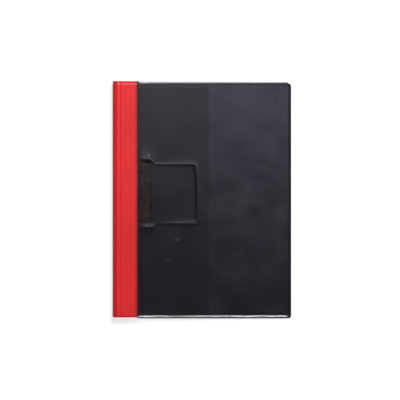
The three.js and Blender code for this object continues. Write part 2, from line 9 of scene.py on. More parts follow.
import bpy
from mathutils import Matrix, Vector


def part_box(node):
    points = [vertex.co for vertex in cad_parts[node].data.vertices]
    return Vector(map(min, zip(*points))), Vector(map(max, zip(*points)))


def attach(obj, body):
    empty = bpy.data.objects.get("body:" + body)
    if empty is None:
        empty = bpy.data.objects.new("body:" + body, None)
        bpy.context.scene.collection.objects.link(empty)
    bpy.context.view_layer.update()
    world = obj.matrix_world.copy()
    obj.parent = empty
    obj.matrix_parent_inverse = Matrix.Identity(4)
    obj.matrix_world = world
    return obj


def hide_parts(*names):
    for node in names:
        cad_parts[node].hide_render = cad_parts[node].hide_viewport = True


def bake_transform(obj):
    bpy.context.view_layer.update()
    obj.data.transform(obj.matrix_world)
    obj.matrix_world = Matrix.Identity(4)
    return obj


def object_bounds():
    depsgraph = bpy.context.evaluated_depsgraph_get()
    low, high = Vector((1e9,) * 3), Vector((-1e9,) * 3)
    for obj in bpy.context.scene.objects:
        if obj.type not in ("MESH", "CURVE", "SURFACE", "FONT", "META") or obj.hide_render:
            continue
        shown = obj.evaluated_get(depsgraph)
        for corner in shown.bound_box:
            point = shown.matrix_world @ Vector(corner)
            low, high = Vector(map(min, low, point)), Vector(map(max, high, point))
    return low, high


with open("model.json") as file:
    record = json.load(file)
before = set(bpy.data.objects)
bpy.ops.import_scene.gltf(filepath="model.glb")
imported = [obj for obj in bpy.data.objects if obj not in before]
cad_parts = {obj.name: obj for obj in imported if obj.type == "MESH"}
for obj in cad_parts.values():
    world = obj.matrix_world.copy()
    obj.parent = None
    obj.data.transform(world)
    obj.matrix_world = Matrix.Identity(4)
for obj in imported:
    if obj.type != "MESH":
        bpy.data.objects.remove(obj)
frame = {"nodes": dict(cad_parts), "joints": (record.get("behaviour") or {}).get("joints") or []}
cad_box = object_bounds()

MM = 0.001
METRE = 1.0
STRIP_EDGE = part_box("spine_wrap")[1][0]

# Photograph: the frame is 400 pixels wide, at this many metres a pixel
PIXELS = 400
METRES_A_PIXEL = 1.308 * MM
OBJECT_CENTRE_PX = (201.9, 199.9)
CAMERA_HEIGHT = 4.0
CAMERA_CLIP = 20.0
SENSOR = 36.0

# Sky: its strength by the Y of the direction looked in, and how much is left of it towards -X
SKY_START = -0.06
SKY_END = 0.0475
SKY_CURVE = 2.7
SKY_DARK = 0.045
SKY_BRIGHT = 0.60
LEFT_START = -0.22
LEFT_END = -0.035
LEFT_SHARE = 0.2
SKY_COLOUR = (0.93, 0.90, 1.06, 1)

# Lamp
LAMP_PLACE = (0.5, 1.05, 1.65)
LAMP_TARGET = (0, 0, 0)
LAMP_SIZE = (0.9, 0.5)
LAMP_WATTS = 42

# Floor: its half width, how far it lies under the folder, and how it looks in light and to the camera
FLOOR_REACH = 6.0
FLOOR_DROP = 0.2 * MM
FLOOR_GREY = (0.4, 0.4, 0.4, 1)
FLOOR_SEEN_GREY = (0.3, 0.3, 0.3, 1)
FLOOR_GLOW = 0.78

# Red sheet
RED_SHEET = 0.9 * MM
CREASE_FROM_EDGE = 9.5 * MM
CREASE_WIDTH = 4.6 * MM
CREASE_DEPTH = 0.36 * MM
HINGE_SINK = 0.15 * MM
STRIP_START = 0.3 * MM  # past the spine's curve
STRIP_FALL = 0.035
ROLL_WIDTH = 2.2 * MM
ROLL_DROP = 0.75 * MM
FLANGE_WIDTH = 2.2 * MM
FLANGE_SHEET = 0.12 * MM
HEM_FROM_END = 2.6 * MM
HEM_WIDTH = 1.5 * MM
HEM_DEPTH = 0.42 * MM
END_ROLL = 0.25 * MM
END_ROLL_WIDTH = 0.8 * MM
LOWER_ROLL = 0.55 * MM
LOWER_ROLL_WIDTH = 2.4 * MM
UNDER_FACE = 1.0 * MM  # points of the outer face lower than this aren't pressed in

# Spacing of the red sheet's points, closer together at the crease, the roll and the hems
RED_STEP = 2.0 * MM
SPINE_STEPS = 48
CREASE_STEP = 0.3 * MM
STRIP_STEP = 1.2 * MM
ROLL_STEPS = 10
FLANGE_STEP = 0.25 * MM
RED_ROW_STEP = 4.0 * MM
RED_END = 6.0 * MM
RED_END_ROWS_MM = (0.0, 0.25, 0.8, 1.5, 1.9, 2.2, 2.6, 3.0, 3.3, 3.7, 4.4)

# Clear front
FILM = 0.4 * MM
BEAD_WIDTH = 3.0 * MM
BEAD_HEIGHT = 0.70 * MM
WELD_START = 0.8 * MM
WELD_WIDTH = 3.0 * MM
WELD_HEIGHT = 0.3 * MM
WELD_FLANK = 0.4 * MM
FREE_LENGTH = 6.0 * MM  # past the weld, over which the sheet comes free to rise and sag
FILM_CORNER = 3.2 * MM

# Clear front over the bail: the tent along the wire grows from the arms' start to its full height
PATH_START = 8.0 * MM
TENT_WIDTH = 2.6 * MM
TENT_LENGTH = 55.0 * MM
TENT_SHARE = 0.25
WIRE_GAP = 0.12 * MM
TENT_GAP = 0.05 * MM
TENT_LEAST = 0.10 * MM
TENT_MORE = 0.30 * MM
BAR_START = 9.0 * MM
BAR_WIDTH = 4.0 * MM

# Clear front inside the bail's loop, where it sags
SAG = 0.05 * MM
SAG_LENGTH = 60.0 * MM
SAG_FROM_WIRE = 7.0 * MM

# Small raised creases in the clear front that catch the light, and a mound over each bend of the bail
DENTS = ((-0.0313, -0.0538), (-0.0443, -0.0812), (0.0969, 0.1346))
DENT_RISE = 0.30 * MM
DENT_SIZE = 2.4 * MM
MOUND_RISE = 0.6 * MM
MOUND_SIZE = 7.0 * MM
MOUND_INNER = 2.2 * MM

# Spacing of the clear front's points, closer together at its edges, along the bail and at the dents
UNDER_STRIP_STEP = 2.0 * MM
NEAR_STRIP = 6.0 * MM
NEAR_STRIP_STEP = 0.4 * MM
PIVOT_MARGIN = 6.0 * MM
BEFORE_LOOP_STEP = 1.2 * MM
LOOP_STEP = 1.0 * MM
LOOP_MARGIN = 8.0 * MM
OPEN_STEP_X = 3.0 * MM
OPEN_STEP_Y = 4.0 * MM
FILM_END = 4.0 * MM
FILM_END_STEP = 0.35 * MM
ARM_OUTER = 14.0 * MM
ARM_INNER = 8.0 * MM
ARM_STEP = 0.8 * MM
BETWEEN_ARMS_STEP = 2.5 * MM
DENT_STEP = 0.8 * MM
DENT_SPARE = 0.1 * MM

# Bail as it lies at rest, in millimetres from its pivot, as in the solid
BAIL_WIRE = 3.0
FINGER_LENGTH = 5.0
FINGER_Y = 38.0
OUTER_RUN_Y = 43.6
OUTER_RUN_LENGTH = 7.8
ARM_Y = 38.7
ARM_SHIFT = -0.7
ARM_START = 14.3
BAIL_REACH = 65.6
BAIL_SKEW = 2.6
BAIL_BOW = 1.1
BAIL_DROP = 0.65
BAIL_CORNER = 4.2
BAIL_BEND = 2.6
FINGER_BEND = 1.7
BOW_RADIUS = 42.0
BOW_SHARES = (-0.5, 0.0, 0.5)

# Springs and rivets, as in the solids
SPRING_WIRE = 0.8 * MM
SPRING_TURNS = 6
SPRING_PITCH = 1.05 * MM
SPRING_FROM_MIDDLE = 15 * MM
SPRING_LEG = 6.5 * MM
SPRING_OVER_PLATE = 1.0 * MM
SPRING_LEAVES_PLATE = 2 * SPRING_WIRE  # from the coil, where the leg comes off the plate
COIL_RADIUS = 1.7 * MM
PLATE_SLOPE = math.radians(15.5)
RIVET_SHANK = 4.0 * MM
RIVET_HEAD = 6.4 * MM
RIVET_DOME = 1.0 * MM
RIVET_REAR = 0.55 * MM

# Roundness of wires and rivets
DEGREES_A_STEP = 9
LEAST_ARC_STEPS = 3
BAIL_SIDES = 24
SPRING_SIDES = 12
COIL_STEPS = 24
RIVET_SIDES = 48
RIVET_DOME_STEPS = 12
SHARP_ANGLE = math.radians(40)

# Rounded wire end: shares of the wire's radius past the end and across
WIRE_END = ((0.25, 0.85), (0.45, 0.55))

# Colours: each surface varies between two
RED_DEEP = (0.68, 0.015, 0.016, 1)
RED_PALE = (0.76, 0.020, 0.021, 1)
RED_SHADE = (0.055, 0.003, 0.006, 1)
RED_EDGE_SHADOW = (0.10, 0.002, 0.004, 1)
BLACK_DEEP = (0.0034, 0.0026, 0.0050, 1)
BLACK_PALE = (0.0052, 0.0040, 0.0074, 1)
FRONT_TINT = (0.94, 0.94, 0.96, 1)
FRONT_END_SHADE = (0.05, 0.05, 0.06, 1)
POCKET_TINT = (0.72, 0.74, 0.90, 1)
PLATED_DARK = (0.022, 0.010, 0.004, 1)
PLATED_WORN = (0.085, 0.042, 0.020, 1)
BRIGHT_DARK = (0.030, 0.028, 0.030, 1)
BRIGHT_WORN = (0.052, 0.049, 0.053, 1)
BAIL_DARK = (0.060, 0.058, 0.066, 1)
BAIL_WORN = (0.085, 0.082, 0.092, 1)
BASE_DARK = (0.020, 0.016, 0.018, 1)
BASE_WORN = (0.035, 0.028, 0.030, 1)

# Roughness: the least and the most, or a middle value that the shares spread
RED_ROUGHNESS = (0.28, 0.42)
BLACK_ROUGHNESS = (0.28, 0.38)
FRONT_ROUGHNESS = 0.07
POCKET_ROUGHNESS = 0.12
PLATED_ROUGHNESS = 0.30
BRIGHT_ROUGHNESS = 0.40
BAIL_ROUGHNESS = 0.16
BASE_ROUGHNESS = 0.34
CLEAR_SHARES = (0.8, 1.3)
STEEL_SHARES = (0.75, 1.35)

# How strongly each plastic bends light
RED_IOR = 1.45
BLACK_IOR = 1.4
FRONT_IOR = 1.5
POCKET_IOR = 1.44

# Noise: its scale, detail and roughness, and the middle of its range that is used
RED_CLOUD = (14.0, 3.0)
RED_GRAIN = (1900.0, 2.0, 0.6)
RED_PORES = (420.0, 3.0, 0.55)
BLACK_CLOUD = (22.0, 3.0)
BLACK_GRAIN = (1500.0, 2.0, 0.6)
CLEAR_RIPPLE = (26.0, 2.0, 0.45)
STEEL_LINES = (600.0, 3.0, 0.6)
STEEL_CLOUD = (160.0, 3.0, 0.6)
STEEL_BRUSH = (1.0, 30.0, 1.0)
MIDDLE = (0.3, 0.7)
WORN_MIDDLE = (0.35, 0.7)

# Bumps: their strength, and their height in metres
RED_GRAIN_BUMP = (0.18, 0.04 * MM)
RED_PORE_BUMP = (0.16, 0.10 * MM)
BLACK_GRAIN_BUMP = (0.14, 0.04 * MM)
CLEAR_RIPPLE_BUMP = (0.25, 0.9 * MM)
STEEL_BUMP = (0.12, 0.03 * MM)

# Red strip's free edge: painted shade that darkens it towards the edge, and a painted shadow, a dark
# red line along the edge and on the welded flange beyond it
SHADE_WIDTH = 4.0 * MM
SHADE_SHARE = 0.72
RED_EDGE_SHADOW_BEFORE = 0.3 * MM
RED_EDGE_SHADOW_PAST = 0.2 * MM

# Painted shade at the clear front's top end, a darker tint, from the end
END_SHADE_REACH = 1.2 * BEAD_WIDTH
END_SHADE_START = 0.1 * BEAD_WIDTH
END_SHADE_FULL = 0.85 * BEAD_WIDTH
END_SHADE_LEAVE = 0.95 * BEAD_WIDTH
END_SHADE_GONE = 1.05 * BEAD_WIDTH

joints = {joint["name"]: joint for joint in frame["joints"]}


def joint_place(name):
    return Vector(joints[name]["pos_m"])


# Node trees

class Tree:
    """A material's nodes, added and linked by short calls."""

    def __init__(self, name):
        self.material = bpy.data.materials.new(name)
        self.material.use_nodes = True
        self.nodes = self.material.node_tree.nodes
        self.links = self.material.node_tree.links
        self.shader = self.nodes["Principled BSDF"]
        self.output = self.nodes["Material Output"]

    def add(self, kind, **values):
        node = self.nodes.new("ShaderNode" + kind)
        for key, value in values.items():
            if key in node.inputs:
                node.inputs[key].default_value = value
            else:
                setattr(node, key, value)
        return node

    def link(self, source, target):
        self.links.new(source, target)

    def feed(self, source, name):
        """Links a value to an input of the material's shader."""
        self.link(source, self.shader.inputs[name])

    def set(self, **values):
        for key, value in values.items():
            self.shader.inputs[key.replace("_", " ")].default_value = value

    def place(self, scale=(1.0, 1.0, 1.0)):
        """Object coordinates, which are metres in the frame at rest."""
        coords = self.add("TexCoord")
        mapping = self.add("Mapping")
        mapping.inputs["Scale"].default_value = scale
        self.link(coords.outputs["Object"], mapping.inputs["Vector"])
        return mapping.outputs["Vector"]

    def part_of(self, place, axis):
        node = self.add("SeparateXYZ")
        self.link(place, node.inputs[0])
        return node.outputs[axis]

    def noise(self, place, scale, detail=2.0, roughness=0.5):
        node = self.add("TexNoise", Scale=scale, Detail=detail, Roughness=roughness)
        self.link(place, node.inputs["Vector"])
        return node.outputs["Fac"]

    def span(self, value, low, high, start=0.0, end=1.0):
        node = self.add("MapRange")
        node.inputs["From Min"].default_value = start
        node.inputs["From Max"].default_value = end
        node.inputs["To Min"].default_value = low
        node.inputs["To Max"].default_value = high
        self.link(value, node.inputs["Value"])
        return node.outputs["Result"]

    def mix(self, factor, first, second):
        """The node's colours go into inputs 6 and 7, its factor into 0, and output 2 is their mix."""
        node = self.add("Mix", data_type="RGBA")
        for socket, value in ((node.inputs[6], first), (node.inputs[7], second)):
            if isinstance(value, tuple):
                socket.default_value = value
            else:
                self.link(value, socket)
        self.link(factor, node.inputs[0])
        return node.outputs[2]

    def bump(self, height, strength, distance, onto=None):
        node = self.add("Bump", Strength=strength, Distance=distance)
        self.link(height, node.inputs["Height"])
        if onto is not None:
            self.link(onto, node.inputs["Normal"])
        return node.outputs["Normal"]


def red_pvc():
    tree = Tree("red_pvc")
    place = tree.place()
    cloud = tree.noise(place, *RED_CLOUD)
    grain = tree.noise(place, *RED_GRAIN)
    pores = tree.noise(place, *RED_PORES)
    colour = tree.mix(tree.span(cloud, 0.0, 1.0, *MIDDLE), RED_DEEP, RED_PALE)
    across = tree.part_of(place, "X")
    # Painted shade: the strip turns darker over its last few millimetres before the free edge
    painted_edge_shade = tree.span(across, 0.0, SHADE_SHARE, STRIP_EDGE - SHADE_WIDTH, STRIP_EDGE)
    # Painted shadow: a dark red line from just inside the strip's edge onto the welded flange beyond it
    weld = tree.span(across, 0.0, 1.0, STRIP_EDGE - RED_EDGE_SHADOW_BEFORE, STRIP_EDGE + RED_EDGE_SHADOW_PAST)
    shaded = tree.mix(painted_edge_shade, colour, RED_SHADE)
    tree.feed(tree.mix(weld, shaded, RED_EDGE_SHADOW), "Base Color")
    tree.feed(tree.span(pores, *RED_ROUGHNESS), "Roughness")
    fine = tree.bump(grain, *RED_GRAIN_BUMP)
    tree.feed(tree.bump(pores, *RED_PORE_BUMP, fine), "Normal")
    tree.set(IOR=RED_IOR)
    return tree.material


def black_pvc():
    tree = Tree("black_pvc")
    place = tree.place()
    cloud = tree.noise(place, *BLACK_CLOUD)
    grain = tree.noise(place, *BLACK_GRAIN)
    tree.feed(tree.mix(tree.span(cloud, 0.0, 1.0, *MIDDLE), BLACK_DEEP, BLACK_PALE), "Base Color")
    tree.feed(tree.span(cloud, *BLACK_ROUGHNESS, *MIDDLE), "Roughness")
    tree.feed(tree.bump(grain, *BLACK_GRAIN_BUMP), "Normal")
    tree.set(IOR=BLACK_IOR)
    return tree.material


def clear_pvc(name, tint, roughness, ior, end_tint=None):
    """Clear sheet. With an end tint it is greyer within a bead's width of the front's top end, as
    painted shade.
    """
    tree = Tree(name)
    place = tree.place()
    ripple = tree.noise(place, *CLEAR_RIPPLE)
    tree.feed(tree.bump(ripple, *CLEAR_RIPPLE_BUMP), "Normal")
    least, most = (roughness * share for share in CLEAR_SHARES)
    tree.feed(tree.span(ripple, least, most, *MIDDLE), "Roughness")
    tree.set(Base_Color=tint, Transmission_Weight=1.0, IOR=ior)
    if end_tint is not None:
        top_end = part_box("front_film")[1][1]
        from_end = tree.span(tree.part_of(place, "Y"), END_SHADE_REACH, 0.0, top_end - END_SHADE_REACH, top_end)
        # Painted shade: the tint turns darker near the top end, then back to the plain tint past it
        painted_end_shade = tree.mix(tree.span(from_end, 0.0, 1.0, END_SHADE_START, END_SHADE_FULL), tint, end_tint)
        clear = tree.span(from_end, 0.0, 1.0, END_SHADE_LEAVE, END_SHADE_GONE)
        tree.feed(tree.mix(clear, painted_end_shade, tint), "Base Color")
    return tree.material


def steel(name, colour, worn, roughness):
    tree = Tree(name)
    lines = tree.noise(tree.place(STEEL_BRUSH), *STEEL_LINES)
    cloud = tree.noise(tree.place(), *STEEL_CLOUD)
    tree.feed(tree.mix(tree.span(cloud, 0.0, 1.0, *WORN_MIDDLE), colour, worn), "Base Color")
    least, most = (roughness * share for share in STEEL_SHARES)
    tree.feed(tree.span(lines, least, most, *MIDDLE), "Roughness")
    tree.feed(tree.bump(lines, *STEEL_BUMP), "Normal")
    tree.set(Metallic=1.0)
    return tree.material


RED = red_pvc()
BLACK = black_pvc()
CLEAR = clear_pvc("clear_pvc", FRONT_TINT, FRONT_ROUGHNESS, FRONT_IOR, FRONT_END_SHADE)
POCKET = clear_pvc("pocket_pvc", POCKET_TINT, POCKET_ROUGHNESS, POCKET_IOR)
PLATED = steel("plated_sheet", PLATED_DARK, PLATED_WORN, PLATED_ROUGHNESS)
BRIGHT = steel("bright_steel", BRIGHT_DARK, BRIGHT_WORN, BRIGHT_ROUGHNESS)
BAIL = steel("bail_steel", BAIL_DARK, BAIL_WORN, BAIL_ROUGHNESS)
BASE = steel("dark_plated_sheet", BASE_DARK, BASE_WORN, BASE_ROUGHNESS)


# Meshes

def mesh_object(name, points, faces, material):
    mesh = bpy.data.meshes.new(name)
    mesh.from_pydata([tuple(p) for p in points], [], faces)
    mesh.validate()
    mesh.update()
    for polygon in mesh.polygons:
        polygon.use_smooth = True
    mesh.materials.append(material)
    piece = bpy.data.objects.new(name, mesh)
    bpy.context.scene.collection.objects.link(piece)
    return piece


def closed_sheet(name, top_rows, under_rows, material):
    """A sheet with two faces, each a grid of rows of points, closed round its four edges."""
    rows = len(top_rows)
    columns = len(top_rows[0])
    points = [p for row in top_rows for p in row] + [p for row in under_rows for p in row]
    offset = rows * columns

    def at(row, column, side):
        return side * offset + row * columns + column

    faces = []
    for r in range(rows - 1):
        for c in range(columns - 1):
            faces.append((at(r, c, 0), at(r, c + 1, 0), at(r + 1, c + 1, 0), at(r + 1, c, 0)))
            faces.append((at(r, c, 1), at(r + 1, c, 1), at(r + 1, c + 1, 1), at(r, c + 1, 1)))
    last = columns - 1
    for r in range(rows - 1):
        faces.append((at(r, 0, 0), at(r + 1, 0, 0), at(r + 1, 0, 1), at(r, 0, 1)))
        faces.append((at(r + 1, last, 0), at(r, last, 0), at(r, last, 1), at(r + 1, last, 1)))
    end = rows - 1
    for c in range(columns - 1):
        faces.append((at(0, c + 1, 0), at(0, c, 0), at(0, c, 1), at(0, c + 1, 1)))
        faces.append((at(end, c, 0), at(end, c + 1, 0), at(end, c + 1, 1), at(end, c, 1)))
    return mesh_object(name, points, faces, material)


def ring_faces(rings, sides):
    """Faces between neighbouring rings of points."""
    faces = []
    for r in range(rings - 1):
        for k in range(sides):
            n = (k + 1) % sides
            faces.append((r * sides + k, r * sides + n, (r + 1) * sides + n, (r + 1) * sides + k))
    return faces


def steps(start, end, spacing):
    count = max(1, math.ceil((end - start) / spacing))
    return [start + (end - start) * i / count for i in range(count + 1)]


def steps_along(stops, spacings):
    """Places from the first stop to the last, with a spacing of its own between each two stops."""
    places = [stops[0]]
    for start, end, spacing in zip(stops, stops[1:], spacings):
        places += steps(start, end, spacing)[1:]
    return places


def bell(distance, width):
    return math.exp(-((distance / width) ** 2))


def clamp(value):
    return min(max(value, 0.0), 1.0)


def smooth(value):
    value = clamp(value)
    return value * value * (3 - 2 * value)


# Red sheet: a skin from the back strip round the spine, and a strip that bends at the crease.
# They join flush where the strip starts.

def crease_depth(distance):
    share = min(abs(distance) / (CREASE_WIDTH / 2), 1.0)
    return CREASE_DEPTH * (1 + math.cos(math.pi * share)) / 2


def red_section():
    """Points of the outer and the inner face in X and Z, and where the front part begins in them."""
    low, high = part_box("spine_wrap")
    left, edge = low[0], high[0]
    radius = high[2] / 2
    thin = radius - RED_SHEET
    hinge_x = left + CREASE_FROM_EDGE
    outer = []
    inner = []
    for x in reversed(steps(left + radius, edge, RED_STEP)):
        outer.append((x, 0.0))
        inner.append((x, RED_SHEET))
    for i in range(1, SPINE_STEPS + 1):
        angle = -math.pi / 2 - math.pi * i / SPINE_STEPS
        outer.append((left + radius + radius * math.cos(angle), radius + radius * math.sin(angle)))
        inner.append((left + radius + thin * math.cos(angle), radius + thin * math.sin(angle)))
    front = len(outer)
    places = steps(left + radius + STRIP_START, hinge_x + CREASE_WIDTH / 2, CREASE_STEP)
    places += steps(hinge_x + CREASE_WIDTH / 2, edge - ROLL_WIDTH, STRIP_STEP)[1:]
    for i in range(1, ROLL_STEPS + 1):
        places.append(edge - ROLL_WIDTH * (1 - math.sin(math.pi / 2 * i / ROLL_STEPS)))
    for x in places:
        distance = x - hinge_x
        settle = smooth((distance / (CREASE_WIDTH / 2) + 1) / 2)
        height = 2 * radius - crease_depth(distance) - settle * HINGE_SINK
        height -= STRIP_FALL * max(distance, 0.0)
        roll = clamp((x - edge) / ROLL_WIDTH + 1)
        outer.append((x, height - ROLL_DROP * (1 - math.sqrt(1 - roll * roll))))
        inner.append((x, height - RED_SHEET))
    foot = inner[-1][1]
    for x in steps(edge, edge + FLANGE_WIDTH, FLANGE_STEP)[1:]:
        outer.append((x, foot + FLANGE_SHEET))
        inner.append((x, foot))
    return outer, inner, front


def red_rows(outer, inner):
    """The section drawn along the folder, with a hem at its top end and a softer roll at the other."""
    low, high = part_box("spine_wrap")
    ends = [distance * MM for distance in RED_END_ROWS_MM]
    rows = [low[1] + distance for distance in ends]
    rows += steps(low[1] + RED_END, high[1] - RED_END, RED_ROW_STEP)
    rows += [high[1] - distance for distance in reversed(ends)]
    top = []
    under = []
    for y in rows:
        from_end = min(y - low[1], high[1] - y)
        if y < 0:
            pressed = LOWER_ROLL * (1 - smooth(from_end / LOWER_ROLL_WIDTH))
        else:
            pressed = HEM_DEPTH * bell(from_end - HEM_FROM_END, HEM_WIDTH / 2)
            pressed += END_ROLL * (1 - smooth(from_end / END_ROLL_WIDTH))
        top_row = []
        under_row = []
        for (xo, zo), (xi, zi) in zip(outer, inner):
            normal = Vector((xo - xi, 0, zo - zi)).normalized()
            sunk = pressed if zo > UNDER_FACE else 0.0
            top_row.append((xo - normal.x * sunk, y, zo - normal.z * sunk))
            under_row.append((xi, y, zi))
        top.append(top_row)
        under.append(under_row)
    return top, under


def red_sheet():
    outer, inner, front = red_section()
    spine = closed_sheet("red_spine", *red_rows(outer[:front + 1], inner[:front + 1]), RED)
    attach(spine, "back")
    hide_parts("spine_wrap")
    strip = closed_sheet("red_strip", *red_rows(outer[front:], inner[front:]), RED)
    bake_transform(strip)
    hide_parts("front_strip")


# Bail: its centre line at rest, as corners rounded by arcs

def bail_corners():
    pivot = joint_place("bail_lift")

    def point(distance, y):
        return pivot + Vector((distance, y, -BAIL_DROP * distance / BAIL_REACH)) * MM

    def side(sign, reach):
        return [
            point(FINGER_LENGTH, sign * FINGER_Y),
            point(0, sign * FINGER_Y),
            point(0, sign * OUTER_RUN_Y),
            point(OUTER_RUN_LENGTH, sign * OUTER_RUN_Y),
            point(ARM_START, sign * ARM_Y + ARM_SHIFT),
            point(reach, sign * ARM_Y + ARM_SHIFT),
        ]

    bow = []
    for share in BOW_SHARES:
        middle = BAIL_REACH + BAIL_SKEW * (0.5 + share / 2)
        bow.append(point(middle + BAIL_BOW * (1 - share * share), ARM_SHIFT - share * ARM_Y))
    bends = [FINGER_BEND, BAIL_BEND, BAIL_BEND, BAIL_BEND, BAIL_CORNER]
    corners = side(1, BAIL_REACH) + bow + side(-1, BAIL_REACH + BAIL_SKEW)[::-1]
    radii = bends + [BOW_RADIUS] * len(bow) + bends[::-1]
    return corners, [r * MM for r in radii]


def rounded_path(corners, radii):
    points = [corners[0]]
    for i in range(1, len(corners) - 1):
        corner = corners[i]
        radius = radii[i - 1]
        back = (corners[i - 1] - corner).normalized()
        ahead = (corners[i + 1] - corner).normalized()
        turn = math.pi - back.angle(ahead)
        run = radius * math.tan(turn / 2)
        start = corner + back * run
        end = corner + ahead * run
        centre = corner + (back + ahead).normalized() * (radius / math.cos(turn / 2))
        count = max(LEAST_ARC_STEPS, round(math.degrees(turn) / DEGREES_A_STEP))
        for k in range(count + 1):
            arm = (start - centre).normalized().slerp((end - centre).normalized(), k / count)
            points.append(centre + arm.normalized() * radius)
    points.append(corners[-1])
    return points


def wire_mesh(name, points, radius, material, sides):
    """A closed tube along the points, with small rounded ends."""
    def frame_at(i):
        ahead = points[min(i + 1, len(points) - 1)] - points[i]
        behind = points[i] - points[max(i - 1, 0)]
        return (ahead.normalized() + behind.normalized()).normalized()

    side = frame_at(0).orthogonal().normalized()
    vertices = []
    for i, centre in enumerate(points):
        along = frame_at(i)
        side = (side - along * side.dot(along)).normalized()
        up = along.cross(side)
        stations = [(0.0, 1.0)]
        if i == 0:
            stations = [(-past, across) for past, across in reversed(WIRE_END)] + stations
        if i == len(points) - 1:
            stations += WIRE_END
        for past, across in stations:
            for k in range(sides):
                angle = 2 * math.pi * k / sides
                spoke = side * math.cos(angle) + up * math.sin(angle)
                vertices.append(centre + along * (past * radius) + spoke * (across * radius))
    rings = len(vertices) // sides
    faces = ring_faces(rings, sides)
    faces.append(tuple(reversed(range(sides))))
    faces.append(tuple(range((rings - 1) * sides, rings * sides)))
    return mesh_object(name, vertices, faces, material)


BAIL_PATH = rounded_path(*bail_corners())


def bail():
    piece = wire_mesh("bail_bar", BAIL_PATH, BAIL_WIRE / 2 * MM, BAIL, BAIL_SIDES)
    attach(piece, "bail")
    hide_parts("bail_wire")


# Torsion springs: a coil round the clamp rod, with one leg along the clamp plate and one straight out
# from the coil

def spring(name, side):
    rod = joint_place("clamp_lift")
    middle = rod.y + side * SPRING_FROM_MIDDLE
    half = SPRING_TURNS * SPRING_PITCH / 2
    start = math.pi / 2 - PLATE_SLOPE
    end = -math.pi / 2 + 2 * math.pi * SPRING_TURNS

    def on_coil(angle, y):
        return Vector((rod.x + COIL_RADIUS * math.cos(angle), y, rod.z + COIL_RADIUS * math.sin(angle)))

    upper = on_coil(start, middle - half)
    down_plate = Vector((math.cos(PLATE_SLOPE), 0, -math.sin(PLATE_SLOPE)))
    off_plate = Vector((math.sin(PLATE_SLOPE), 0, math.cos(PLATE_SLOPE)))
    over = off_plate * SPRING_OVER_PLATE
    points = [upper + down_plate * run + over for run in (SPRING_LEG, SPRING_LEAVES_PLATE)]
    count = SPRING_TURNS * COIL_STEPS
    for i in range(count + 1):
        share = i / count
        points.append(on_coil(start + (end - start) * share, middle - half + 2 * half * share))
    points.append(points[-1] + Vector((SPRING_LEG, 0, 0)))
    piece = wire_mesh(name + "_coil", points, SPRING_WIRE / 2, BRIGHT, SPRING_SIDES)
    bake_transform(piece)
    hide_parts(name)


# Rivets, turned about an upright axis

def rivet(name):
    low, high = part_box(name)
    centre = Vector(((low[0] + high[0]) / 2, (low[1] + high[1]) / 2, 0))
    rim = high[2] - RIVET_DOME
    half_rear = (high[0] - low[0]) / 2
    half_head = RIVET_HEAD / 2
    profile = [(half_rear, low[2]), (half_rear, low[2] + RIVET_REAR)]
    profile += [(RIVET_SHANK / 2, low[2] + RIVET_REAR), (RIVET_SHANK / 2, rim), (half_head, rim)]
    for i in range(1, RIVET_DOME_STEPS):
        angle = math.pi / 2 * i / RIVET_DOME_STEPS
        profile.append((half_head * math.cos(angle), rim + RIVET_DOME * math.sin(angle)))
    sides = RIVET_SIDES
    points = []
    for radius, z in profile:
        for k in range(sides):
            angle = 2 * math.pi * k / sides
            points.append(centre + Vector((radius * math.cos(angle), radius * math.sin(angle), z)))
    points.append(centre + Vector((0, 0, rim + RIVET_DOME)))
    rings = len(profile)
    faces = [tuple(reversed(range(sides)))] + ring_faces(rings, sides)
    last = (rings - 1) * sides
    for k in range(sides):
        faces.append((last + k, last + (k + 1) % sides, rings * sides))
    piece = mesh_object(name + "_head", points, faces, BRIGHT)
    piece.data.set_sharp_from_angle(angle=SHARP_ANGLE)
    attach(piece, "back")
    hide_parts(name)


# Clear front: the sheet's height comes from the solid, and it tents over the bail

def node_profile(name):
    """The lowest height of a node at each X, to the micron, where it has vertices."""
    lowest = {}
    for vertex in frame["nodes"][name].data.vertices:
        x = round(vertex.co.x, 6)
        lowest[x] = min(lowest.get(x, METRE), vertex.co.z)
    return sorted(lowest.items())


def interpolate(profile, x):
    for (x0, z0), (x1, z1) in zip(profile, profile[1:]):
        if x <= x1:
            return z0 + (z1 - z0) * (x - x0) / (x1 - x0)
    return profile[-1][1]


def wire_distance(x, y, path):
    """How far a place is from the path seen from above, and the path's height at its nearest point."""
    best = METRE
    height = 0.0
    place = Vector((x, y))
    for a, b in zip(path, path[1:]):
        run = b.xy - a.xy
        size = run.length_squared
        share = 0.0 if size == 0 else clamp((place - a.xy).dot(run) / size)
        distance = (place - (a.xy + run * share)).length
        if distance < best:
            best = distance
            height = a.z + (b.z - a.z) * share
    return best, height


def finer(places, middle):
    """The places, closer together for twice a dent's size on both sides of the middle."""
    reach = 2 * DENT_SIZE
    near = steps(middle - reach, middle + reach, DENT_STEP)
    return sorted([p for p in places if abs(p - middle) > reach + DENT_SPARE] + near)


def film_columns(low, high, edge, pivot, reach_x):
    stops = [
        low[0],
        edge,
        edge + NEAR_STRIP,
        pivot.x + PIVOT_MARGIN,
        reach_x + LOOP_MARGIN,
        high[0] - FILM_END,
        high[0],
    ]
    spacings = [
        UNDER_STRIP_STEP,
        NEAR_STRIP_STEP,
        BEFORE_LOOP_STEP,
        LOOP_STEP,
        OPEN_STEP_X,
        FILM_END_STEP,
    ]
    places = steps_along(stops, spacings)
    for x, _ in DENTS:
        places = finer(places, x)
    return places


